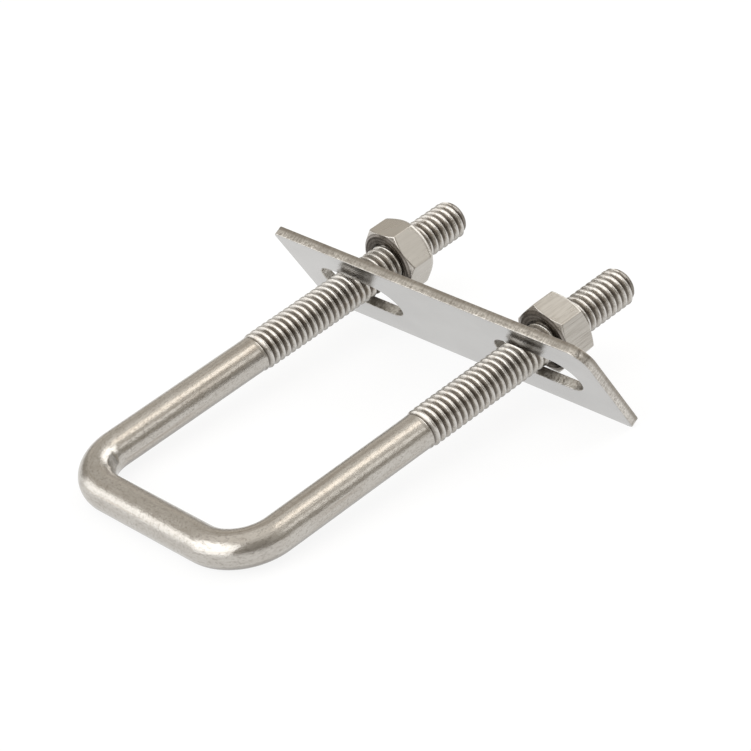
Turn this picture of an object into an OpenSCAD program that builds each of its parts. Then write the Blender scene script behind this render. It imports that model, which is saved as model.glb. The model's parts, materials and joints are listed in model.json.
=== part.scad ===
// Square-bend U-bolt with a slotted backing plate and two hex nuts.
// The two legs run along +Y in the plane z = 0, and the origin is the middle
// of the closed end's centreline.  All sizes are in millimetres.

/* [Rod] */
// Diameter of the plain shank
shank_d = 7.2; // [6.6:0.1:7.4]
// Clear width between the plain shanks
inside_w = 38.1; // [34:0.1:50]
// Length over all, from the outside of the closed end to the leg ends
overall_len = 101.6; // [90:0.1:130]
// Radius of the two bends, measured at the rod's centreline
bend_r = 9.5; // [6:0.5:14]

/* [Thread] */
// Outside diameter of the rolled thread
thread_d = 7.85; // [7.6:0.05:7.95]
// Thread pitch, 18 turns to the inch
thread_pitch = 1.411; // [1.25:0.001:1.5]
// Length of thread on each leg, run-out left out
thread_len = 53; // [45:0.5:60]
// Chamfer on the leg ends
end_chamfer = 1.0; // [0.5:0.1:1.4]

/* [Plate] */
// Length of the backing plate
plate_len = 81.5; // [78:0.5:90]
// Height of the backing plate
plate_h = 23.5; // [20:0.5:30]
// Thickness of the backing plate
plate_t = 2.0; // [1.5:0.1:2.2]
// Radius of the two rounded corners, at +X +Z and at -X -Z
plate_round_r = 4; // [2:0.5:8]
// Radius of the two nearly square corners
plate_square_r = 1; // [0.5:0.25:2]
// Distance between the middles of the two slots
slot_pitch = 47; // [45:0.5:49]
// End-to-end length of each slot
slot_len = 21; // [18:0.5:22]
// Width of each slot
slot_w = 9.5; // [9.5:0.1:11]

/* [Nuts] */
// Width of the nuts across flats
nut_flats = 12.7; // [12:0.1:13.5]
// Height of the nuts
nut_h = 6.75; // [6:0.05:7.5]
// Diameter of the flat bearing circle inside the nuts' chamfers
nut_face_d = 11.6; // [11.2:0.1:11.8]
// Running clearance between bore and thread, on the radius
thread_clearance = 0.05; // [0.02:0.01:0.1]
// Depth of the countersink at each end of the bore
countersink = 0.35; // [0.2:0.05:0.5]
// Thickness of the round slice that carries each nut's travel
face_slice = 0.3; // [0.2:0.02:0.32]

/* [Rest position] */
// Where the middle of the plate lies along the legs
plate_y = 71.2; // [40:0.1:72]
// How far the plate has slipped sideways in its slots
plate_x = 3.3; // [0:0.1:5]
// Lean of the loose plate, its lower edge towards the nuts
plate_lean = 23.5; // [0:0.5:23.5]
// Skew of the loose plate between the legs
plate_skew = 1; // [0:0.5:2]
// Bearing face of the left nut along the legs
left_nut_y = 79.1; // [78:0.1:90]
// Bearing face of the right nut along the legs
right_nut_y = 76.4; // [76:0.1:90]
// How far the left nut is turned
left_nut_turn = 6; // [0:1:59]
// How far the right nut is turned
right_nut_turn = 44; // [0:1:59]

/* [Hidden] */
$fn = 96;
rod_color = "#b3ada6";
plate_color = "#c2bfba";
nut_color = "#aca69e";
leg_x = (inside_w + shank_d) / 2;
leg_end_y = overall_len - shank_d / 2;
thread_y = leg_end_y - thread_len;
runout_len = 1.25 * thread_pitch;
nut_bore_r = thread_d / 2 + thread_clearance;
nut_corner_r = nut_flats / sqrt(3);
chamfer_slope = tan(30);
nut_face_r = nut_face_d / 2;
countersink_r = nut_bore_r + countersink;

// One leg, turned about its own axis: plain shank, thread run-out, thread
// envelope and end chamfer
module leg() {
    shank_r = shank_d / 2;
    thread_r = thread_d / 2;
    rotate([-90, 0, 0])
        rotate_extrude()
            polygon([
                [0, bend_r],
                [shank_r, bend_r],
                [shank_r, thread_y - runout_len],
                [thread_r, thread_y],
                [thread_r, leg_end_y - end_chamfer],
                [thread_r - end_chamfer, leg_end_y],
                [0, leg_end_y]
            ]);
}

// Quarter bend that joins the closed end's bar to the leg at +X
module bend() {
    translate([leg_x - bend_r, bend_r, 0])
        rotate([0, 0, -90])
            rotate_extrude(angle = 90)
                translate([bend_r, 0])
                    circle(d = shank_d);
}

// The whole rod, bent from one length
module u_bolt() {
    bar_len = 2 * (leg_x - bend_r);
    color(rod_color)
        union() {
            translate([-bar_len / 2, 0, 0])
                rotate([0, 90, 0])
                    cylinder(h = bar_len, d = shank_d);
            for (side = [0, 1])
                mirror([side, 0, 0]) {
                    bend();
                    translate([leg_x, 0, 0])
                        leg();
                }
        }
}

// Slot with round ends, as a flat outline along X
module slot_outline() {
    end_x = (slot_len - slot_w) / 2;
    square([2 * end_x, slot_w], center = true);
    for (x = [-end_x, end_x])
        translate([x, 0])
            circle(d = slot_w);
}

// What a corner of the plate loses to its rounding; the signs choose the corner
module corner_cut(side_x, side_y, radius) {
    translate([side_x * plate_len / 2, side_y * plate_h / 2])
        difference() {
            square(2 * radius, center = true);
            translate([-side_x * radius, -side_y * radius])
                circle(r = radius);
        }
}

// Plate outline, as a flat shape
module plate_outline() {
    difference() {
        square([plate_len, plate_h], center = true);
        for (side = [-1, 1]) {
            corner_cut(side, side, plate_round_r);
            corner_cut(-side, side, plate_square_r);
        }
    }
}

// The loose plate, leaning on the legs that pass through its slots
module backing_plate() {
    color(plate_color)
        translate([plate_x, plate_y, 0])
            rotate([plate_lean, 0, plate_skew])
                rotate([90, 0, 0])
                    linear_extrude(height = plate_t, center = true)
                        difference() {
                            plate_outline();
                            for (x = [-slot_pitch / 2, slot_pitch / 2])
                                translate([x, 0])
                                    slot_outline();
                        }
}

// Half section of a nut turned to its chamfered envelope, radius by height
module nut_section() {
    chamfer_h = (nut_corner_r + 1 - nut_face_r) * chamfer_slope;
    polygon([
        [countersink_r, 0],
        [nut_face_r, 0],
        [nut_corner_r + 1, chamfer_h],
        [nut_corner_r + 1, nut_h - chamfer_h],
        [nut_face_r, nut_h],
        [countersink_r, nut_h],
        [nut_bore_r, nut_h - countersink],
        [nut_bore_r, countersink]
    ]);
}

// The round slice under a nut, part of its chamfer and its bearing face
module nut_face_section() {
    polygon([
        [countersink_r, 0],
        [nut_face_r, 0],
        [nut_face_r + face_slice / chamfer_slope, face_slice],
        [countersink_r - face_slice, face_slice]
    ]);
}

// Puts a part made on +Z around the leg at x, with its base at y
module on_leg(x, y, turn) {
    translate([x, y, 0])
        rotate([-90, 0, 0])
            rotate([0, 0, -turn])
                children();
}

// Hexagonal body of a nut, without its bearing slice
module nut_body() {
    color(nut_color)
        difference() {
            intersection() {
                rotate_extrude()
                    nut_section();
                linear_extrude(height = nut_h)
                    circle(r = nut_corner_r, $fn = 6);
            }
            translate([0, 0, -1])
                cylinder(h = 1 + face_slice, r = nut_flats);
        }
}

// Bearing slice of a nut
module nut_face() {
    color(nut_color)
        rotate_extrude()
            nut_face_section();
}

module left_nut() {
    on_leg(-leg_x, left_nut_y, left_nut_turn) nut_body();
}

module left_nut_bearing_face() {
    on_leg(-leg_x, left_nut_y, left_nut_turn) nut_face();
}

module right_nut() {
    on_leg(leg_x, right_nut_y, right_nut_turn) nut_body();
}

module right_nut_bearing_face() {
    on_leg(leg_x, right_nut_y, right_nut_turn) nut_face();
}

u_bolt();
backing_plate();
left_nut();
left_nut_bearing_face();
right_nut();
right_nut_bearing_face();
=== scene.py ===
"""The looks of a square-bend U-bolt with a slotted backing plate and two hex nuts.

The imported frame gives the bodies, the boxes and the joints.  Every CAD node is
replaced by a detailed mesh in the same place.  All sizes are in metres, and
angles round a leg run from +Z towards +X, as a right-hand screw about +Y turns.
"""

import json
import math

import bmesh
import bpy
import numpy as np
from mathutils import Matrix, Vector


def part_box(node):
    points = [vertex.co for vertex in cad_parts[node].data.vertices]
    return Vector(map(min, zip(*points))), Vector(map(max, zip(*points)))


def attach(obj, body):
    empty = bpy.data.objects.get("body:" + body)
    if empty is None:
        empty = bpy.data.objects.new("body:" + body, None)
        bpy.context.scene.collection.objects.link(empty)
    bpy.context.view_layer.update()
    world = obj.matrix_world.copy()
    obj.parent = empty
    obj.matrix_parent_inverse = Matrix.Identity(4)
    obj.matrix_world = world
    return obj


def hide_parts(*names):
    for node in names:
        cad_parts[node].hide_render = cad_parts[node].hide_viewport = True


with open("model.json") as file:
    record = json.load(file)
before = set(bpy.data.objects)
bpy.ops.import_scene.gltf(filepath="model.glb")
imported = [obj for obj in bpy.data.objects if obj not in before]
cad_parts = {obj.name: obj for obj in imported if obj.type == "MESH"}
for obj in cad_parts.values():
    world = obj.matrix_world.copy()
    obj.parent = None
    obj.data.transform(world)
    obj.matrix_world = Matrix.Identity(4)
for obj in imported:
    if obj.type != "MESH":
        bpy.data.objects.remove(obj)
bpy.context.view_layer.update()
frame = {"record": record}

# ---------------------------------------------------------------- sizes
MM = 0.001
TAU = 2 * math.pi

# Meshes
MERGE_DISTANCE = 0.0005 * MM
SHARP_ANGLE = math.radians(38)
PLATE_SHARP_ANGLE = math.radians(50)
COLUMNS = 80
ROWS_PER_PITCH = 12
SHANK_ROWS, BEND_ROWS, BAR_ROWS = 33, 46, 13

# Rod
BEND_R = 9.5 * MM
END_CHAMFER = 1.0 * MM
END_HOLLOW = 0.02 * MM

# Thread: its flat crest and root as shares of the pitch, the blur that rounds them in pitches,
# its run-out in pitches, and how far before the leg's end it sinks to its core
THREAD_START = 45.0 * MM
THREAD_DEPTH = 0.77 * MM
CREST_SHARE, ROOT_SHARE = 0.24, 0.13
CREST_BLUR = 0.075
BLUR_STEPS = 5
RUNOUT_PITCHES = 1.25
RISE_PITCHES = 0.4
END_FADE = (1.05 * MM, 0.65 * MM)
END_CORE_R = 3.3 * MM

# Flat that the bending tool pressed inside the left bend
MARK_DEPTH = 0.28 * MM
MARK_ANGLE = math.radians(155)
MARK_SPAN = (math.radians(26), math.radians(55))
MARK_FADE = math.radians(3)

# Plate
PLATE_LENGTH, PLATE_HEIGHT, PLATE_THICKNESS = 81.5 * MM, 23.5 * MM, 2.0 * MM
PLATE_ROUND_R, PLATE_SQUARE_R = 4.0 * MM, 1.0 * MM
SLOT_PITCH, SLOT_LENGTH, SLOT_WIDTH = 47 * MM, 21 * MM, 9.5 * MM
PLATE_LEAN, PLATE_SKEW = math.radians(23.5), math.radians(1)
PLATE_EDGE_ROUND = 0.16 * MM
PLATE_STEP = 0.4 * MM
SHEAR_WAVE = 0.012 * MM
NICK_ANGLE, NICK_WIDTH, NICK_DEPTH = math.radians(52), 1.0 * MM, 0.45 * MM
FACE_SLOT, OUTLINE_SLOT, OPENING_SLOT = 0, 1, 2

# Nuts, whose near end is the one beside the plate; each has its own wear on its rounded edges
NUT_HALF_FLATS = 6.35 * MM
NUT_HEIGHT = 6.75 * MM
NUT_FACE_R = 5.8 * MM
NUT_CHAMFER = math.radians(30)
NUT_CORNER_ROUND = 0.25 * MM
NUT_CORNER_FAN = np.radians([-30, -15, 0, 15, 30])
NUT_FLAT_COLUMNS = 13
NUT_NEAR_ROUND = {"left": 0.3 * MM, "right": 0.18 * MM}
NUT_FAR_ROUND = {"left": 0.9 * MM, "right": 0.3 * MM}
NUT_NEAR_STEPS, NUT_FAR_STEPS = 4, 5
MAX_ROUND_SHARE = 0.6
NUT_FACE_LIP = 0.05 * MM
COUNTERSINK_R = 4.325 * MM
SLICE_HEIGHT = 0.3 * MM
SLICE_GAP = 0.005 * MM
THREAD_GAP = 0.04 * MM
NUT_MINOR_R = 3.33 * MM
NUT_TURNS = {"left": math.radians(6), "right": math.radians(44)}
CHAMFER_SLOT, FLAT_SLOT, BORE_SLOT = 0, 1, 2

# Camera
VIEW_AZIMUTH, VIEW_ELEVATION, VIEW_ROLL = map(math.radians, (54.17, 34.2, -13.23))
VIEW_TARGET = Vector((2.97 * MM, 51.81 * MM, 0))
VIEW_DISTANCE = 591.6 * MM
VIEW_LENS = 153.9
SENSOR_WIDTH = 36

# Room: height of the direction, brightness and warmth
ROOM = [(-1.0, 0.90, 0.3), (-0.03, 0.95, 0.3), (0.06, 0.46, 1.0), (0.2, 0.42, 1.2), (0.34, 0.5, 1.1),
        (0.5, 0.66, 1.0), (0.74, 0.70, 1.0), (0.84, 1.0, 0.6), (1.0, 1.0, 0.8)]
# Azimuth and elevation of the room's dimmer corner, and its colour
DIM_CORNER = (-28, 30)
DIM_COLOUR = (0.12, 0.11, 0.10, 1)

# Lights: name, azimuth and elevation in degrees, width and height in metres, radiance, colour
COOL, WARM = (0.95, 0.97, 1.0), (1.0, 0.92, 0.83)
SOFTBOXES = [("front_softbox", -95, 27, 1.15, 1.27, 1.85, COOL),
             ("left_softbox", -145, 15, 0.6, 0.65, 1.45, COOL),
             ("back_softbox", 88, 27, 0.95, 0.8, 2.0, COOL),
             ("ceiling_softbox", 72, 62, 0.40, 0.22, 1.35, WARM),
             ("window", 32, 31, 0.3, 0.24, 0.95, COOL),
             ("dark_card", 147, 19, 0.75, 0.26, 0.3, WARM)]

# Table
TABLE_SIZE = 3.0
TABLE_GAP = 0.02 * MM
TABLE_GREY, TABLE_GLOW = 0.14, 0.87

rod_low, rod_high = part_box("u_bolt")
SHANK_R = -rod_low.y
THREAD_R = rod_high.z
LEG_X = rod_high.x - THREAD_R
LEG_END = rod_high.y
couplings = frame["record"]["behaviour"]["couplings"]
PITCH = TAU * next(c["ratio"] for c in couplings if c["follows"] == "left_nut_turn")
RUNOUT_START = THREAD_START - RUNOUT_PITCHES * PITCH
SIDES = {"left": -1, "right": 1}


# ---------------------------------------------------------------- mesh tools
def smooth_step(low, high, value):
    """0 below low, 1 above high, and a soft rise between them."""
    share = np.clip((value - low) / (high - low), 0, 1)
    return share * share * (3 - 2 * share)


def place_mesh(name, mesh, matrix, sharp_angle):
    """A smooth-shaded object round a mesh, with edges sharper than sharp_angle kept sharp."""
    mesh.polygons.foreach_set("use_smooth", [True] * len(mesh.polygons))
    mesh.set_sharp_from_angle(angle=sharp_angle)
    piece = bpy.data.objects.new(name, mesh)
    piece.matrix_world = matrix
    bpy.context.scene.collection.objects.link(piece)
    normals = piece.modifiers.new("normals", "WEIGHTED_NORMAL")
    normals.keep_sharp = True
    return piece


def make_piece(name, points, faces, materials, slots=None, matrix=None):
    """A closed mesh object from points in the frame's axes; matrix gives it axes of its own."""
    matrix = matrix or Matrix.Identity(4)
    mesh = bpy.data.meshes.new(name)
    mesh.from_pydata([tuple(p) for p in points], [], [tuple(map(int, f)) for f in faces])
    for material in materials:
        mesh.materials.append(material)
    if slots is not None:
        mesh.polygons.foreach_set("material_index", slots)
    shape = bmesh.new()
    shape.from_mesh(mesh)
    bmesh.ops.remove_doubles(shape, verts=shape.verts, dist=MERGE_DISTANCE)
    bmesh.ops.recalc_face_normals(shape, faces=shape.faces)
    shape.to_mesh(mesh)
    shape.free()
    mesh.transform(matrix.inverted())
    return place_mesh(name, mesh, matrix, SHARP_ANGLE)


def strip_faces(first, second, count):
    """Quads between two closed rings whose first point numbers are given."""
    k = np.arange(count)
    following = (k + 1) % count
    return np.stack([first + k, first + following, second + following, second + k], 1)


def joined(parts):
    """The points and faces of several parts as one mesh."""
    points, faces, first = [], [], 0
    for part_points, part_faces in parts:
        points.append(part_points)
        faces += [[first + int(i) for i in face] for face in part_faces]
        first += len(part_points)
    return np.concatenate(points), faces


def rings_to_mesh(rings, angles, axis_x):
    """Points and faces of closed rings round a leg; a ring is (radii, heights) by column."""
    count = len(angles)
    points, faces = [], []
    for radii, heights in rings:
        radii = np.broadcast_to(radii, count)
        heights = np.broadcast_to(heights, count)
        points.append(np.stack([axis_x + radii * np.sin(angles), heights, radii * np.cos(angles)], 1))
    for i in range(len(rings) - 1):
        faces.append(strip_faces(i * count, (i + 1) * count, count))
    return np.concatenate(points), np.concatenate(faces)


def helix_mesh(angles, axis_x, low, high, radius):
    """A wall round a leg from low to high whose rows follow the thread; radius is a function of
    height and angle, and the same all round at both ends."""
    count = len(angles)
    step = PITCH / ROWS_PER_PITCH
    rows = math.ceil((high - low + PITCH) / step) + 1
    heights = low - PITCH + step * np.arange(rows)[:, None] + PITCH * (angles - angles[0]) / TAU
    heights = np.clip(heights, low, high)
    radii = radius(heights, angles)
    points = np.stack([axis_x + radii * np.sin(angles), heights, radii * np.cos(angles)], 2)
    row, column = np.meshgrid(np.arange(rows - 1), np.arange(count), indexing="ij")
    # the last column meets the first one a whole pitch further up
    wraps = column == count - 1
    beside = np.where(wraps, 0, column + 1)
    lift = np.where(wraps, ROWS_PER_PITCH, 0)
    near = np.minimum(row + lift, rows - 1)
    far = np.minimum(row + 1 + lift, rows - 1)
    faces = np.stack([row * count + column, near * count + beside,
                      far * count + beside, (row + 1) * count + column], 2)
    return points.reshape(-1, 3), faces.reshape(-1, 4)


# ---------------------------------------------------------------- rod
def thread_height(turns):
    """Height of the rolled thread's profile, 1 on a crest and 0 in a root, by distance in pitches."""
    def sharp(value):
        away = np.abs(value - np.round(value))
        return np.clip((0.5 - ROOT_SHARE / 2 - away) / (0.5 - (CREST_SHARE + ROOT_SHARE) / 2), 0, 1)

    blur = np.linspace(-CREST_BLUR, CREST_BLUR, BLUR_STEPS)
    return sum(sharp(turns + b) for b in blur) / len(blur)


def full_thread_radius(height, angle):
    """Radius of the endless thread at a height and angle round the leg."""
    return THREAD_R - THREAD_DEPTH * (1 - thread_height(height / PITCH - angle / TAU))


def leg_radius(height, angle):
    """The thread with its run-out into the plain shank, its last turn and the leg's chamfer."""
    started = smooth_step(RUNOUT_START, THREAD_START + RISE_PITCHES * PITCH, height)
    ended = smooth_step(LEG_END - END_FADE[0], LEG_END - END_FADE[1], height)
    radius = SHANK_R + started * (full_thread_radius(height, angle) - SHANK_R)
    radius = radius + ended * (END_CORE_R - radius)
    return np.minimum(radius, THREAD_R - END_CHAMFER + (LEG_END - height))


def rod_path():
    """Centres and outward directions along the plain rod, from the left run-out to the right."""
    leg_y = np.linspace(RUNOUT_START, BEND_R, SHANK_ROWS + 1)[:-1]
    bend = np.linspace(0, math.pi / 2, BEND_ROWS)
    bar_x = np.linspace(BEND_R - LEG_X, 0, BAR_ROWS + 1)[1:]
    centres = [(-LEG_X, y) for y in leg_y]
    outward = [(-1, 0) for _ in leg_y]
    centres += [(BEND_R - LEG_X - BEND_R * math.cos(t), BEND_R - BEND_R * math.sin(t)) for t in bend]
    outward += [(-math.cos(t), -math.sin(t)) for t in bend]
    centres += [(x, 0) for x in bar_x]
    outward += [(0, -1) for _ in bar_x]
    centres += [(-x, y) for x, y in centres[-2::-1]]
    outward += [(-x, y) for x, y in outward[-2::-1]]
    return np.array(centres), np.array(outward)


def marked_radius(centres, outward, angles):
    """The shank's radius with the flat that the bending tool pressed inside the left bend."""
    turned = np.arctan2(-outward[:, 1], -outward[:, 0])[:, None]
    low, high = MARK_SPAN
    entered = smooth_step(low - MARK_FADE, low, turned)
    passed = smooth_step(high, high + MARK_FADE, turned)
    on_left = centres[:, :1] < 0
    inside = entered * (1 - passed) * on_left
    facing = np.maximum(np.cos(angles - MARK_ANGLE), 0.5)
    flat = (SHANK_R - MARK_DEPTH) / facing
    return SHANK_R - inside * (SHANK_R - np.minimum(flat, SHANK_R))


def plain_rod():
    """Points and faces of the bar, the bends and the plain shanks."""
    centres, outward = rod_path()
    angles = TAU * np.arange(COLUMNS) / COLUMNS
    radii = marked_radius(centres, outward, angles)
    across = radii * np.cos(angles)
    points = np.stack([centres[:, :1] + across * outward[:, :1],
                       centres[:, 1:] + across * outward[:, 1:],
                       radii * np.sin(angles)], 2)
    faces = [strip_faces(i * COLUMNS, (i + 1) * COLUMNS, COLUMNS) for i in range(len(centres) - 1)]
    return points.reshape(-1, 3), np.concatenate(faces)


def leg_end_disc(axis_x, angles):
    """The flat end of a leg, a little hollow where it was cut off."""
    edge = THREAD_R - END_CHAMFER
    rings = [(edge, LEG_END)]
    rings += [(edge * share, LEG_END - END_HOLLOW) for share in (0.85, 0.5, 0.2)]
    points, faces = rings_to_mesh(rings, angles, axis_x)
    cap = range(len(points) - len(angles), len(points))
    return points, faces.tolist() + [list(cap)]


def straightened(points):
    """Where each point would lie on the rod before it was bent: along it, across it and up."""
    x, y, z = points.T
    side = np.abs(x)
    bar_half = LEG_X - BEND_R
    bend_length = BEND_R * math.pi / 2
    turned = np.arctan2(side - bar_half, BEND_R - y)
    in_leg = y > BEND_R
    in_bar = ~in_leg & (side < bar_half)
    bend_out = np.hypot(side - bar_half, BEND_R - y) - BEND_R
    along = np.where(in_leg, bar_half + bend_length + y - BEND_R,
                     np.where(in_bar, side, bar_half + BEND_R * turned))
    across = np.where(in_leg, side - LEG_X, np.where(in_bar, -y, bend_out))
    return np.stack([along * np.where(x < 0, -1, 1), across, z], 1)


def make_u_bolt(material):
    """The whole rod: plain part, both threads and both ends, as one closed mesh."""
    angles = TAU * np.arange(COLUMNS) / COLUMNS
    parts = [plain_rod()]
    for side in SIDES.values():
        axis_x = side * LEG_X
        parts.append(helix_mesh(angles, axis_x, RUNOUT_START, LEG_END, leg_radius))
        parts.append(leg_end_disc(axis_x, angles))
    rod = make_piece("threaded_rod", *joined(parts), [material])
    mesh = rod.data
    flat = np.empty(3 * len(mesh.vertices))
    mesh.vertices.foreach_get("co", flat)
    grain = mesh.attributes.new("grain", "FLOAT_VECTOR", "POINT")
    grain.data.foreach_set("vector", straightened(flat.reshape(-1, 3)).ravel())
    return rod


# ---------------------------------------------------------------- nuts
def hexagon(turn):
    """Angles and radii of a nut's outline with rounded corners, in order round the leg."""
    first_corner = (math.pi / 2 - turn) % (math.pi / 3)
    centre_r = (NUT_HALF_FLATS - NUT_CORNER_ROUND) / math.cos(math.pi / 6)
    outline = []
    for corner in first_corner + np.arange(6) * math.pi / 3:
        centre = centre_r * np.array([math.sin(corner), math.cos(corner)])
        for off in NUT_CORNER_FAN:
            direction = np.array([math.sin(corner + off), math.cos(corner + off)])
            outline.append(centre + NUT_CORNER_ROUND * direction)
    spread = []
    shares = np.linspace(0, 1, NUT_FLAT_COLUMNS + 2)[1:-1]
    for i, point in enumerate(outline):
        spread.append(point)
        if (i + 1) % len(NUT_CORNER_FAN) == 0:
            following = outline[(i + 1) % len(outline)]
            spread += [point + (following - point) * share for share in shares]
    spread = np.array(spread)
    return np.unwrap(np.arctan2(spread[:, 0], spread[:, 1])), np.hypot(spread[:, 0], spread[:, 1])


def bore_radius(base):
    """The nut's thread as a function of height and angle, with a countersink at each end."""
    def radius(height, angle):
        thread = np.maximum(full_thread_radius(height, angle) + THREAD_GAP, NUT_MINOR_R)
        near = COUNTERSINK_R - (height - base)
        far = COUNTERSINK_R - (base + NUT_HEIGHT - height)
        return np.maximum(thread, np.maximum(near, far))
    return radius


def rounded_edge(before, edge, after, steps=2):
    """Rings that round an edge, from (radius, height) pairs on it and on both sides."""
    rings = []
    for share in np.linspace(0, 1, steps + 1):
        parts = (before, (1 - share) ** 2), (edge, 2 * share * (1 - share)), (after, share ** 2)
        rings.append(tuple(sum(part[i] * weight for part, weight in parts) for i in (0, 1)))
    return rings


def nut_matrix(side, base):
    """A nut's own axes: Z along the leg and X through a corner."""
    turn = NUT_TURNS[side]
    x_axis = Vector((math.cos(turn), 0, math.sin(turn)))
    z_axis = Vector((0, 1, 0))
    y_axis = z_axis.cross(x_axis)
    axes = Matrix((x_axis, y_axis, z_axis)).transposed().to_4x4()
    return Matrix.Translation((SIDES[side] * LEG_X, base, 0)) @ axes


def edge_on_cone(reach, cone_height):
    """How far in and along the axis a point on a chamfer's cone lies from the cone's outer edge."""
    reach = np.minimum(reach, MAX_ROUND_SHARE * cone_height / math.sin(NUT_CHAMFER))
    return reach * math.cos(NUT_CHAMFER), reach * math.sin(NUT_CHAMFER)


def nut_rings(side, base, radii):
    """The outside of a nut as rings, from its bearing slice to its outer face."""
    slope = math.tan(NUT_CHAMFER)
    top = base + NUT_HEIGHT
    drop = (radii - NUT_FACE_R) * slope
    near_round, far_round = NUT_NEAR_ROUND[side], NUT_FAR_ROUND[side]
    near_r, near_y = edge_on_cone(near_round, drop - SLICE_HEIGHT)
    far_r, far_y = edge_on_cone(far_round, drop)
    rings = [(COUNTERSINK_R - SLICE_HEIGHT, base + SLICE_HEIGHT),
             (NUT_FACE_R + SLICE_HEIGHT / slope, base + SLICE_HEIGHT)]
    rings += rounded_edge((radii - near_r, base + drop - near_y), (radii, base + drop),
                          (radii, base + drop + near_round), NUT_NEAR_STEPS)
    rings += rounded_edge((radii, top - drop - far_round), (radii, top - drop),
                          (radii - far_r, top - drop + far_y), NUT_FAR_STEPS)
    rings += rounded_edge((NUT_FACE_R + NUT_FACE_LIP, top - NUT_FACE_LIP * slope), (NUT_FACE_R, top),
                          (NUT_FACE_R - NUT_FACE_LIP, top))
    return rings + [(COUNTERSINK_R, top)]


def nut_strip_slots():
    """The material slot of each strip between a nut's rings; the flats take over half way round
    the rounded edges."""
    near_chamfer = 2 + NUT_NEAR_STEPS // 2
    flat = NUT_NEAR_STEPS // 2 + 1 + math.ceil(NUT_FAR_STEPS / 2)
    far_chamfer = NUT_FAR_STEPS // 2 + 4
    return [CHAMFER_SLOT] * near_chamfer + [FLAT_SLOT] * flat + [CHAMFER_SLOT] * far_chamfer


def make_nut(side, base, materials):
    """The hexagonal body of a nut, from its bearing slice to its outer face."""
    angles, radii = hexagon(NUT_TURNS[side])
    axis_x = SIDES[side] * LEG_X
    outside = rings_to_mesh(nut_rings(side, base, radii), angles, axis_x)
    bore = helix_mesh(angles, axis_x, base + SLICE_HEIGHT, base + NUT_HEIGHT, bore_radius(base))
    slots = np.repeat(nut_strip_slots(), len(angles)).tolist() + [BORE_SLOT] * len(bore[1])
    return make_piece(f"{side}_hex_nut", *joined([outside, bore]), materials, slots,
                      nut_matrix(side, base))


def make_nut_face(side, base, materials):
    """The round bearing slice under a nut."""
    angles, _ = hexagon(NUT_TURNS[side])
    slope = math.tan(NUT_CHAMFER)
    height = SLICE_HEIGHT - SLICE_GAP
    back = base + height
    rings = [(COUNTERSINK_R, base)]
    rings += rounded_edge((NUT_FACE_R - NUT_FACE_LIP, base), (NUT_FACE_R, base),
                          (NUT_FACE_R + NUT_FACE_LIP, base + NUT_FACE_LIP * slope))
    rings += [(NUT_FACE_R + height / slope, back), (COUNTERSINK_R - height, back),
              (COUNTERSINK_R, base)]
    points, faces = rings_to_mesh(rings, angles, SIDES[side] * LEG_X)
    return make_piece(f"{side}_nut_washer_face", points, faces, materials, None,
                      nut_matrix(side, base))


# ---------------------------------------------------------------- plate
def arc(centre_x, centre_z, radius, start, end):
    """Points on an arc about PLATE_STEP apart, its last one left out."""
    steps = max(4, round(abs(end - start) * radius / PLATE_STEP))
    turn = np.linspace(start, end, steps + 1)[:-1]
    return np.stack([centre_x + radius * np.cos(turn), centre_z + radius * np.sin(turn)], 1)


def line(start, end):
    """Points on a line about PLATE_STEP apart, its last one left out."""
    start, end = np.array(start), np.array(end)
    steps = max(1, round(float(np.linalg.norm(end - start)) / PLATE_STEP))
    return start + (end - start) * np.linspace(0, 1, steps + 1)[:-1, None]


def rounded_loop(centre_x, half_length, half_height, radii):
    """A rectangle round (centre_x, 0) as points about PLATE_STEP apart; radii are those of its
    corners at +X -Z, +X +Z, -X +Z and -X -Z."""
    quarter = math.pi / 2
    bends = []
    for i, radius in enumerate(radii):
        side_x, side_z = ((1, -1), (1, 1), (-1, 1), (-1, -1))[i]
        start = (i - 1) * quarter
        bends.append((centre_x + side_x * (half_length - radius), side_z * (half_height - radius),
                      radius, start, start + quarter))
    loop = []
    for (x, z, radius, start, end), (next_x, next_z, next_radius, next_start, _) in zip(
            bends, bends[1:] + bends[:1]):
        leave = (x + radius * math.cos(end), z + radius * math.sin(end))
        arrive = (next_x + next_radius * math.cos(next_start),
                  next_z + next_radius * math.sin(next_start))
        loop.append(arc(x, z, radius, start, end))
        if math.dist(leave, arrive) > PLATE_STEP / 2:
            loop.append(line(leave, arrive))
    return np.concatenate(loop)


def inward(loop, into_metal):
    """Unit directions from a loop's points into the plate's metal."""
    along = np.roll(loop, -1, 0) - np.roll(loop, 1, 0)
    along /= np.linalg.norm(along, axis=1)[:, None]
    return into_metal * np.stack([-along[:, 1], along[:, 0]], 1)


def sheared_edge(loop, step):
    """How far the cut wall falls back along a loop, from shallow waves of the shearing tool."""
    at = np.arange(len(loop))
    waves = np.sin(at * 0.9 + step) + np.sin(at * 2.3 + 2 * step) + np.sin(at * 0.37 + 1.7 * step)
    return SHEAR_WAVE * (1 + waves / 3)


def nick(loop):
    """How far the wall falls back along the outline at the dent in the corner at +X +Z."""
    centre = np.array([PLATE_LENGTH / 2, PLATE_HEIGHT / 2]) - PLATE_ROUND_R
    deepest = centre + PLATE_ROUND_R * np.array([math.cos(NICK_ANGLE), math.sin(NICK_ANGLE)])
    off = np.linalg.norm(loop - deepest, axis=1) / (NICK_WIDTH / 2)
    return NICK_DEPTH * np.cos(np.minimum(off, 1) * math.pi / 2) ** 2


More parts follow.
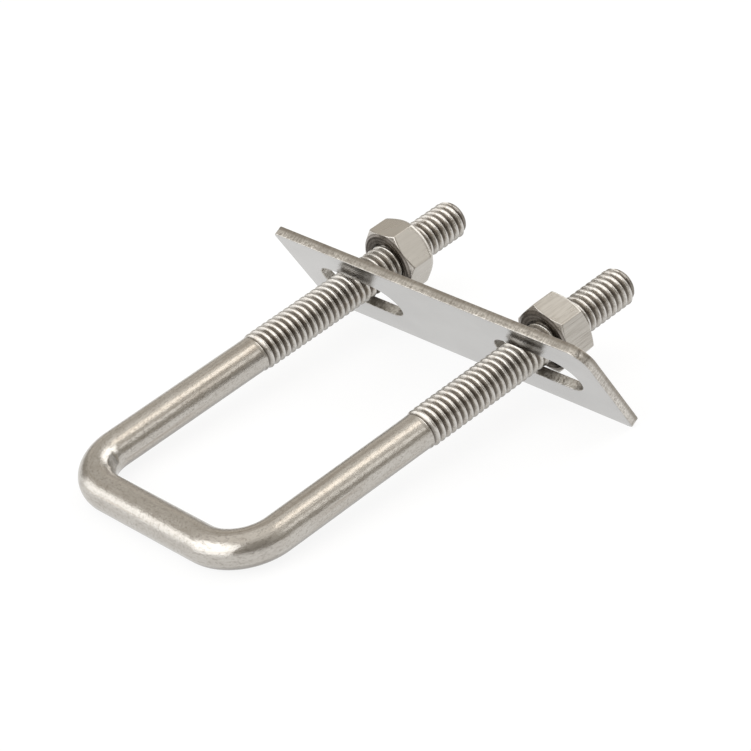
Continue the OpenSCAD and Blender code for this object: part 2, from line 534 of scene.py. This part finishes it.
def wall_rings(shape, loop, into_metal):
    """Rings of vertices across a sheared wall, from the face at -Y to the face at +Y."""
    half = PLATE_THICKNESS / 2
    soft = PLATE_EDGE_ROUND
    # how far in from the outline, where across the thickness, waves or not, dent or not
    profile = [(soft, -half, 0, 0), (0.3 * soft, -half + 0.3 * soft, 0, 0), (0, -half + soft, 0, 1),
               (0, -0.4 * half, 1, 1), (0, 0.1 * half, 1, 1), (0, 0.6 * half, 1, 0),
               (0, half - soft, 0, 0), (0.3 * soft, half - 0.3 * soft, 0, 0), (soft, half, 0, 0)]
    direction = inward(loop, into_metal)
    rings = []
    for step, (fall, across, waves, dent) in enumerate(profile):
        depth = fall + waves * sheared_edge(loop, step) + dent * nick(loop)
        edge = loop + direction * depth[:, None]
        rings.append([shape.verts.new((x, across, z)) for x, z in edge])
    return rings


def add_wall(shape, rings, slot):
    """Quads between the rings; the arris beside the face at -Y looks like that face."""
    for lower, upper in zip(rings, rings[1:]):
        for k in range(len(lower)):
            following = (k + 1) % len(lower)
            wall = shape.faces.new((lower[k], lower[following], upper[following], upper[k]))
            wall.material_index = FACE_SLOT if lower is rings[0] else slot


def ring_edges(shape, ring):
    """The edges that join a ring's vertices."""
    return [shape.edges.get((ring[k], ring[(k + 1) % len(ring)])) for k in range(len(ring))]


def plate_mesh():
    """The slotted plate with rounded arrises and sheared walls, in its own axes."""
    corners = (PLATE_SQUARE_R, PLATE_ROUND_R) * 2
    loops = [(rounded_loop(0, PLATE_LENGTH / 2, PLATE_HEIGHT / 2, corners), 1, OUTLINE_SLOT)]
    for side in SIDES.values():
        end_r = SLOT_WIDTH / 2
        opening = rounded_loop(side * SLOT_PITCH / 2, SLOT_LENGTH / 2, SLOT_WIDTH / 2, (end_r,) * 4)
        loops.append((opening, -1, OPENING_SLOT))
    shape = bmesh.new()
    front_edges, back_edges = [], []
    for loop, into_metal, slot in loops:
        rings = wall_rings(shape, loop, into_metal)
        add_wall(shape, rings, slot)
        front_edges += ring_edges(shape, rings[0])
        back_edges += ring_edges(shape, rings[-1])
    for edges in (front_edges, back_edges):
        bmesh.ops.triangle_fill(shape, edges=edges, use_beauty=True)
    bmesh.ops.recalc_face_normals(shape, faces=shape.faces)
    mesh = bpy.data.meshes.new("slotted_plate")
    shape.to_mesh(mesh)
    shape.free()
    return mesh


def make_plate(materials):
    """The slotted plate, leaning on the legs."""
    mesh = plate_mesh()
    for material in materials:
        mesh.materials.append(material)
    low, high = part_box("backing_plate")
    lean = Matrix.Rotation(PLATE_SKEW, 4, "Z") @ Matrix.Rotation(PLATE_LEAN, 4, "X")
    matrix = Matrix.Translation((low + high) / 2) @ lean
    return place_mesh("slotted_plate", mesh, matrix, PLATE_SHARP_ANGLE)


# ---------------------------------------------------------------- materials
class Graph:
    """A material's or world's nodes, made one call at a time."""

    def __init__(self, tree):
        self.tree = tree
        tree.nodes.clear()

    def add(self, kind, inputs=None, **settings):
        """A new node; an input is a number, a colour or another node's socket."""
        made = self.tree.nodes.new("ShaderNode" + kind)
        for key, value in settings.items():
            setattr(made, key, value)
        for key, value in (inputs or {}).items():
            if isinstance(value, bpy.types.NodeSocket):
                self.tree.links.new(value, made.inputs[key])
            else:
                made.inputs[key].default_value = value
        return made

    def scaled(self, vector, scale):
        """A vector in millimetres, stretched by a scale for each axis."""
        factors = [1 / MM * s for s in scale]
        return self.add("VectorMath", {0: vector, 1: factors}, operation="MULTIPLY").outputs[0]

    def noise(self, vector, detail=3.0, roughness=0.55):
        made = self.add("TexNoise", {"Vector": vector, "Scale": 1.0, "Detail": detail,
                                     "Roughness": roughness})
        return made.outputs["Fac"]

    def remap(self, value, from_low, from_high, to_low, to_high):
        made = self.add("MapRange", {0: value, 1: from_low, 2: from_high, 3: to_low, 4: to_high})
        return made.outputs[0]

    def math(self, operation, first, second=0.0):
        return self.add("Math", {0: first, 1: second}, operation=operation).outputs[0]

    def distance(self, first, second):
        """How far a point lies from an axis, from its two offsets."""
        squares = self.math("POWER", first, 2.0), self.math("POWER", second, 2.0)
        return self.math("SQRT", self.math("ADD", *squares))

    def mix(self, share, first, second):
        made = self.add("Mix", {0: share, 6: first, 7: second}, data_type="RGBA")
        return made.outputs[2]

    def bump(self, height, depth, below=None):
        """A bump of the given depth in millimetres, on top of another bump."""
        inputs = {"Strength": 1.0, "Distance": depth * MM, "Height": height}
        if below is not None:
            inputs["Normal"] = below
        return self.add("Bump", inputs).outputs[0]

    def metal(self, colour, roughness, normal):
        """The surface that everything before leads to."""
        shader = self.add("BsdfPrincipled", {"Base Color": colour, "Metallic": 1.0,
                                             "Roughness": roughness, "Normal": normal})
        self.add("OutputMaterial", {"Surface": shader.outputs[0]})


def new_material(name):
    """An empty material and its graph."""
    material = bpy.data.materials.new(name)
    material.use_nodes = True
    return material, Graph(material.node_tree)


def thread_zones(g, place):
    """Masks along the thread: its roots for painted shade, its crests for a painted highlight, and
    the fine seam that rolling leaves on them.
    """
    parts = g.add("SeparateXYZ", {0: place})
    x, y, z = parts.outputs
    off_axis = g.math("SUBTRACT", x, g.math("MULTIPLY", g.math("SIGN", x), LEG_X))
    radius = g.distance(off_axis, z)
    angle = g.math("ARCTAN2", off_axis, z)
    turns = g.math("SUBTRACT", g.math("DIVIDE", y, PITCH), g.math("DIVIDE", angle, TAU))
    from_crest = g.math("PINGPONG", turns, 0.5)
    threaded = g.remap(y, RUNOUT_START, THREAD_START, 0.0, 1.0)
    before_end = g.remap(y, LEG_END - 0.3 * MM, LEG_END - 0.1 * MM, 1.0, 0.0)
    # low marks the thread's hollows, where the rod's steel gets painted shade
    low = g.remap(radius, THREAD_R - THREAD_DEPTH, THREAD_R - 0.45 * THREAD_DEPTH, 1.1, 0.0)
    # high marks the crests, which get a painted highlight
    high = g.remap(radius, THREAD_R - 0.2 * THREAD_DEPTH, THREAD_R - 0.05 * THREAD_DEPTH, 0.0, 0.5)
    root = g.math("MULTIPLY", g.math("MULTIPLY", threaded, before_end), low)
    crest = g.math("MULTIPLY", threaded, high)
    seam = g.math("MULTIPLY", threaded, g.remap(from_crest, 0.02, 0.07, 1.0, 0.0))
    return root, crest, seam


def rod_steel():
    """Drawn stainless rod: streaks along it, a fine grain, painted brown shade in the thread roots, a
    painted highlight on the crests and painted shade on the side facing down."""
    material, g = new_material("drawn_rod_steel")
    grain = g.add("Attribute", attribute_name="grain").outputs["Vector"]
    coordinates = g.add("TexCoord")
    fine = g.noise(g.scaled(grain, (1.7, 2.3, 2.3)), roughness=0.7)
    streak = g.noise(g.scaled(grain, (0.12, 2.4, 2.4)), detail=2.0)
    mottle = g.noise(g.scaled(grain, (0.45, 0.7, 0.7)))
    stain = g.noise(g.scaled(grain, (0.03, 0.7, 0.7)), detail=2.0)
    root, crest, seam = thread_zones(g, coordinates.outputs["Object"])
    # Painted shade on the side of the rod that faces down.
    facing_up = g.add("SeparateXYZ", {0: coordinates.outputs["Normal"]}).outputs[2]
    painted_underside_shade = g.remap(facing_up, -0.55, -0.3, 0.6, 0.0)
    colour = g.mix(mottle, (0.46, 0.43, 0.39, 1), (0.58, 0.56, 0.525, 1))
    layers = [(g.remap(streak, 0.35, 0.75, 0.0, 0.3), (0.38, 0.35, 0.31, 1)),
              (g.remap(stain, 0.55, 0.72, 0.0, 0.45), (0.30, 0.245, 0.19, 1)),
              (g.remap(fine, 0.5, 0.7, 0.0, 0.55), (0.26, 0.235, 0.205, 1)),
              # painted highlight on the crests
              (crest, (0.72, 0.705, 0.68, 1)),
              # painted shade in the thread roots
              (g.math("MULTIPLY", root, 0.9), (0.07, 0.052, 0.038, 1)),
              (painted_underside_shade, (0.13, 0.115, 0.10, 1))]
    for share, layer in layers:
        colour = g.mix(share, colour, layer)
    rough = g.remap(mottle, 0.3, 0.7, 0.17, 0.26)
    rough = g.math("ADD", rough, g.math("MULTIPLY", root, 0.15))
    normal = g.bump(fine, 0.034)
    normal = g.bump(streak, 0.014, normal)
    normal = g.bump(mottle, 0.02, normal)
    normal = g.bump(g.math("SUBTRACT", 1.0, seam), 0.03, normal)
    g.metal(colour, rough, normal)
    return material


def plate_face_steel():
    """Cold-rolled plate: an even satin with faint rolling lines and a few scratches."""
    material, g = new_material("satin_plate_steel")
    place = g.add("TexCoord").outputs["Object"]
    rolled = g.noise(g.scaled(place, (0.15, 1.0, 2.5)), detail=2.0)
    cloud = g.noise(g.scaled(place, (0.09, 0.2, 0.14)))
    speck = g.noise(g.scaled(place, (1.6, 1.6, 1.6)), detail=1.0)
    scratch = g.noise(g.scaled(place, (0.35, 1.0, 1.5)), detail=4.0, roughness=0.7)
    base = g.mix(cloud, (0.40, 0.393, 0.382, 1), (0.52, 0.512, 0.50, 1))
    colour = g.mix(g.remap(scratch, 0.66, 0.72, 0.0, 0.4), base, (0.25, 0.24, 0.23, 1))
    rough = g.remap(cloud, 0.3, 0.7, 0.13, 0.2)
    normal = g.bump(rolled, 0.004)
    normal = g.bump(speck, 0.003, normal)
    g.metal(colour, rough, normal)
    return material


def sheared_steel(name, dark, light, torn_share, grit_depth):
    """A sheared wall of the plate: a cut band with marks straight through the thickness, and a
    darker torn band along the back."""
    material, g = new_material(name)
    place = g.add("TexCoord").outputs["Object"]
    marks = g.noise(g.scaled(place, (2.4, 0.3, 2.4)), roughness=0.7)
    grit = g.noise(g.scaled(place, (2.6, 2.6, 2.6)), detail=2.0)
    cloud = g.noise(g.scaled(place, (0.1, 0.1, 0.1)), detail=1.0)
    depth = g.add("SeparateXYZ", {0: place}).outputs[1]
    ragged = g.math("ADD", depth, g.math("MULTIPLY", g.math("SUBTRACT", grit, 0.5), 0.8 * MM))
    torn = g.remap(ragged, 0.05 * MM, 0.45 * MM, 0.0, 1.0)
    shade = g.math("ADD", g.math("MULTIPLY", marks, 0.45), g.math("MULTIPLY", grit, 0.55))
    base = g.mix(g.remap(shade, 0.35, 0.65, 0.0, 1.0), (*dark, 1), (*light, 1))
    base = g.mix(g.remap(cloud, 0.4, 0.6, 0.0, 0.4), base, (*dark, 1))
    colour = g.mix(g.math("MULTIPLY", torn, torn_share), base, (0.20, 0.172, 0.14, 1))
    rough = g.remap(grit, 0.3, 0.7, 0.28, 0.42)
    normal = g.bump(marks, 0.05)
    normal = g.bump(grit, grit_depth, normal)
    g.metal(colour, rough, normal)
    return material


def turned_steel(name, dark, light, rings_per_mm):
    """A turned surface of a nut: fine rings round its axis between two shades."""
    material, g = new_material(name)
    place = g.add("TexCoord").outputs["Object"]
    x, y, _ = g.add("SeparateXYZ", {0: place}).outputs
    radius = g.distance(x, y)
    rings = g.add("TexNoise", {"W": g.math("MULTIPLY", radius, rings_per_mm / MM), "Scale": 1.0,
                               "Detail": 2.0}, noise_dimensions="1D").outputs["Fac"]
    cloud = g.noise(g.scaled(place, (0.5, 0.5, 0.5)))
    shade = g.math("ADD", g.math("MULTIPLY", rings, 0.6), g.math("MULTIPLY", cloud, 0.4))
    colour = g.mix(g.remap(shade, 0.3, 0.7, 0.0, 1.0), (*dark, 1), (*light, 1))
    rough = g.remap(cloud, 0.3, 0.7, 0.2, 0.32)
    g.metal(colour, rough, g.bump(rings, 0.012))
    return material


def nut_flat_steel(name, line_share):
    """Wrench flats of a nut: drawn bar with long fine lines beside the axis."""
    material, g = new_material(name)
    place = g.add("TexCoord").outputs["Object"]
    lines = g.noise(g.scaled(place, (3.2, 3.2, 0.16)), roughness=0.6)
    score = g.noise(g.scaled(place, (1.6, 1.6, 0.09)), detail=2.0)
    cloud = g.noise(g.scaled(place, (0.3, 0.3, 0.22)), detail=2.0)
    base = g.mix(cloud, (0.43, 0.405, 0.365, 1), (0.55, 0.525, 0.485, 1))
    colour = g.mix(g.remap(lines, 0.42, 0.75, 0.0, line_share), base, (0.31, 0.28, 0.245, 1))
    colour = g.mix(g.remap(score, 0.68, 0.72, 0.0, line_share), colour, (0.16, 0.14, 0.12, 1))
    rough = g.remap(cloud, 0.3, 0.7, 0.24, 0.32)
    normal = g.bump(lines, 0.02 * line_share)
    normal = g.bump(cloud, 0.03, normal)
    g.metal(colour, rough, normal)
    return material


def nut_thread_steel():
    """The tapped bore of a nut: darker than its outside, in brown-grey tones."""
    material, g = new_material("tapped_nut_steel")
    place = g.add("TexCoord").outputs["Object"]
    cloud = g.noise(g.scaled(place, (1.2, 1.2, 1.2)))
    colour = g.mix(cloud, (0.17, 0.145, 0.12, 1), (0.36, 0.33, 0.29, 1))
    rough = g.remap(cloud, 0.3, 0.7, 0.3, 0.42)
    g.metal(colour, rough, g.bump(cloud, 0.02))
    return material


# ---------------------------------------------------------------- studio
def direction(azimuth, elevation):
    """The unit vector toward an azimuth and an elevation in degrees."""
    azimuth, elevation = math.radians(azimuth), math.radians(elevation)
    return Vector((math.cos(azimuth) * math.cos(elevation),
                   math.sin(azimuth) * math.cos(elevation), math.sin(elevation)))


def make_world():
    """A pale room: bright ceiling, dim warm walls with one dimmer corner, and a pale surround
    below the horizon."""
    world = bpy.data.worlds.new("studio")
    bpy.context.scene.world = world
    world.use_nodes = True
    g = Graph(world.node_tree)
    toward = g.add("TexCoord").outputs["Generated"]
    height = g.remap(g.add("SeparateXYZ", {0: toward}).outputs[2], -1.0, 1.0, 0.0, 1.0)
    ramp = g.add("ValToRGB", {0: height})
    elements = ramp.color_ramp.elements
    for _ in range(len(ROOM) - len(elements)):
        elements.new(0.5)
    for element, (up, level, warmth) in zip(elements, ROOM):
        element.position = (up + 1) / 2
        element.color = (level, level * (1 - 0.05 * warmth), level * (1 - 0.13 * warmth), 1)
    facing = g.add("VectorMath", {0: toward, 1: direction(*DIM_CORNER)}, operation="DOT_PRODUCT")
    dim = g.remap(facing.outputs["Value"], 0.75, 0.97, 0.0, 0.45)
    colour = g.mix(dim, ramp.outputs[0], DIM_COLOUR)
    shade = g.add("Background", {"Color": colour, "Strength": 1.0})
    g.add("OutputWorld", {"Surface": shade.outputs[0]})


def make_softbox(name, azimuth, elevation, width, height, radiance, colour):
    """An area light one metre from the object that faces it."""
    light = bpy.data.lights.new(name, "AREA")
    light.shape = "RECTANGLE"
    light.size, light.size_y = width, height
    light.energy = radiance * math.pi * width * height
    light.color = colour
    lamp = bpy.data.objects.new(name, light)
    bpy.context.scene.collection.objects.link(lamp)
    toward = direction(azimuth, elevation)
    lamp.location = VIEW_TARGET + toward
    lamp.rotation_euler = toward.to_track_quat("Z", "Y").to_euler()
    lamp.visible_camera = False


def make_floor(plate):
    """A pale table that the closed end and the plate's lower edge rest on."""
    points = [plate.matrix_world @ v.co for v in plate.data.vertices]
    slope = max(math.atan2(-p.z, p.y) - math.asin(SHANK_R / math.hypot(p.y, p.z)) for p in points)
    up = Vector((0, math.sin(slope), math.cos(slope)))
    mesh = bpy.data.meshes.new("table")
    corners = [(x * TABLE_SIZE, y * TABLE_SIZE, 0) for x, y in ((-1, -1), (1, -1), (1, 1), (-1, 1))]
    mesh.from_pydata(corners, [], [(0, 1, 2, 3)])
    table = bpy.data.objects.new("table", mesh)
    table.rotation_euler = (-slope, 0, 0)
    table.location = up * -(SHANK_R + TABLE_GAP)
    bpy.context.scene.collection.objects.link(table)
    material, g = new_material("pale_table")
    diffuse = g.add("BsdfDiffuse", {"Color": (TABLE_GREY, TABLE_GREY, TABLE_GREY, 1)})
    glow = g.add("Emission", {"Color": (1, 1, 1, 1), "Strength": TABLE_GLOW})
    both = g.add("AddShader", {0: diffuse.outputs[0], 1: glow.outputs[0]})
    g.add("OutputMaterial", {"Surface": both.outputs[0]})
    mesh.materials.append(material)


def make_camera():
    """The camera that looks at VIEW_TARGET, turned about its own line of sight by VIEW_ROLL."""
    back = Vector((math.sin(VIEW_AZIMUTH) * math.cos(VIEW_ELEVATION),
                   -math.cos(VIEW_AZIMUTH) * math.cos(VIEW_ELEVATION), math.sin(VIEW_ELEVATION)))
    level = Vector((math.cos(VIEW_AZIMUTH), math.sin(VIEW_AZIMUTH), 0))
    steep = back.cross(level)
    right = level * math.cos(VIEW_ROLL) + steep * math.sin(VIEW_ROLL)
    up = steep * math.cos(VIEW_ROLL) - level * math.sin(VIEW_ROLL)
    data = bpy.data.cameras.new("camera")
    data.lens = VIEW_LENS
    data.sensor_width = SENSOR_WIDTH
    data.clip_start, data.clip_end = 0.05, 20
    camera = bpy.data.objects.new("camera", data)
    axes = Matrix((right, up, back)).transposed().to_4x4()
    camera.matrix_world = Matrix.Translation(VIEW_TARGET + back * VIEW_DISTANCE) @ axes
    bpy.context.scene.collection.objects.link(camera)
    bpy.context.scene.camera = camera


# ---------------------------------------------------------------- assembly
def install(piece, body, node):
    """Puts a finished piece on its body in place of its CAD node."""
    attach(piece, body)
    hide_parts(node)


def install_plate():
    """The plate with its three surfaces, in place."""
    outline_steel = sheared_steel("sheared_outline_steel", (0.29, 0.265, 0.235), (0.80, 0.77, 0.72),
                                  torn_share=0.65, grit_depth=0.05)
    # The slot walls get a much lighter copy of the sheared steel: painted light where the slots lie
    # in shade.
    slot_steel_painted_light = sheared_steel("punched_slot_steel_painted_light", (0.45, 0.42, 0.37), (0.92, 0.90, 0.86),
                               torn_share=0.2, grit_depth=0.12)
    plate = make_plate([plate_face_steel(), outline_steel, slot_steel_painted_light])
    install(plate, "plate", "backing_plate")
    return plate


def install_nuts():
    """Both nuts, in place; the drawing lines show more on the right one's flats."""
    chamfer_steel = turned_steel("chamfer_nut_steel", (0.42, 0.39, 0.355), (0.64, 0.61, 0.57),
                                 rings_per_mm=5.0)
    # The bearing slices get a near-black copy of the turned steel: painted shade where they face the
    # plate.
    bearing_steel_painted_shade = turned_steel("bearing_nut_steel_painted_shade", (0.10, 0.085, 0.072), (0.30, 0.272, 0.245),
                                 rings_per_mm=2.6)
    bore_steel = nut_thread_steel()
    line_shares = {"left": 0.25, "right": 0.7}
    for side, line_share in line_shares.items():
        materials = [chamfer_steel, nut_flat_steel(f"{side}_nut_steel", line_share), bore_steel]
        base_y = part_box(f"{side}_nut_bearing_face")[0].y
        install(make_nut(side, base_y, materials), f"{side}_nut_hex", f"{side}_nut")
        install(make_nut_face(side, base_y, [bearing_steel_painted_shade]), f"{side}_nut_carrier",
                f"{side}_nut_bearing_face")


make_camera()
install(make_u_bolt(rod_steel()), "rod", "u_bolt")
plate = install_plate()
install_nuts()
make_floor(plate)
make_world()
for softbox in SOFTBOXES:
    make_softbox(*softbox)
view_settings = bpy.context.scene.view_settings
view_settings.view_transform = "Standard"
view_settings.look = "None"
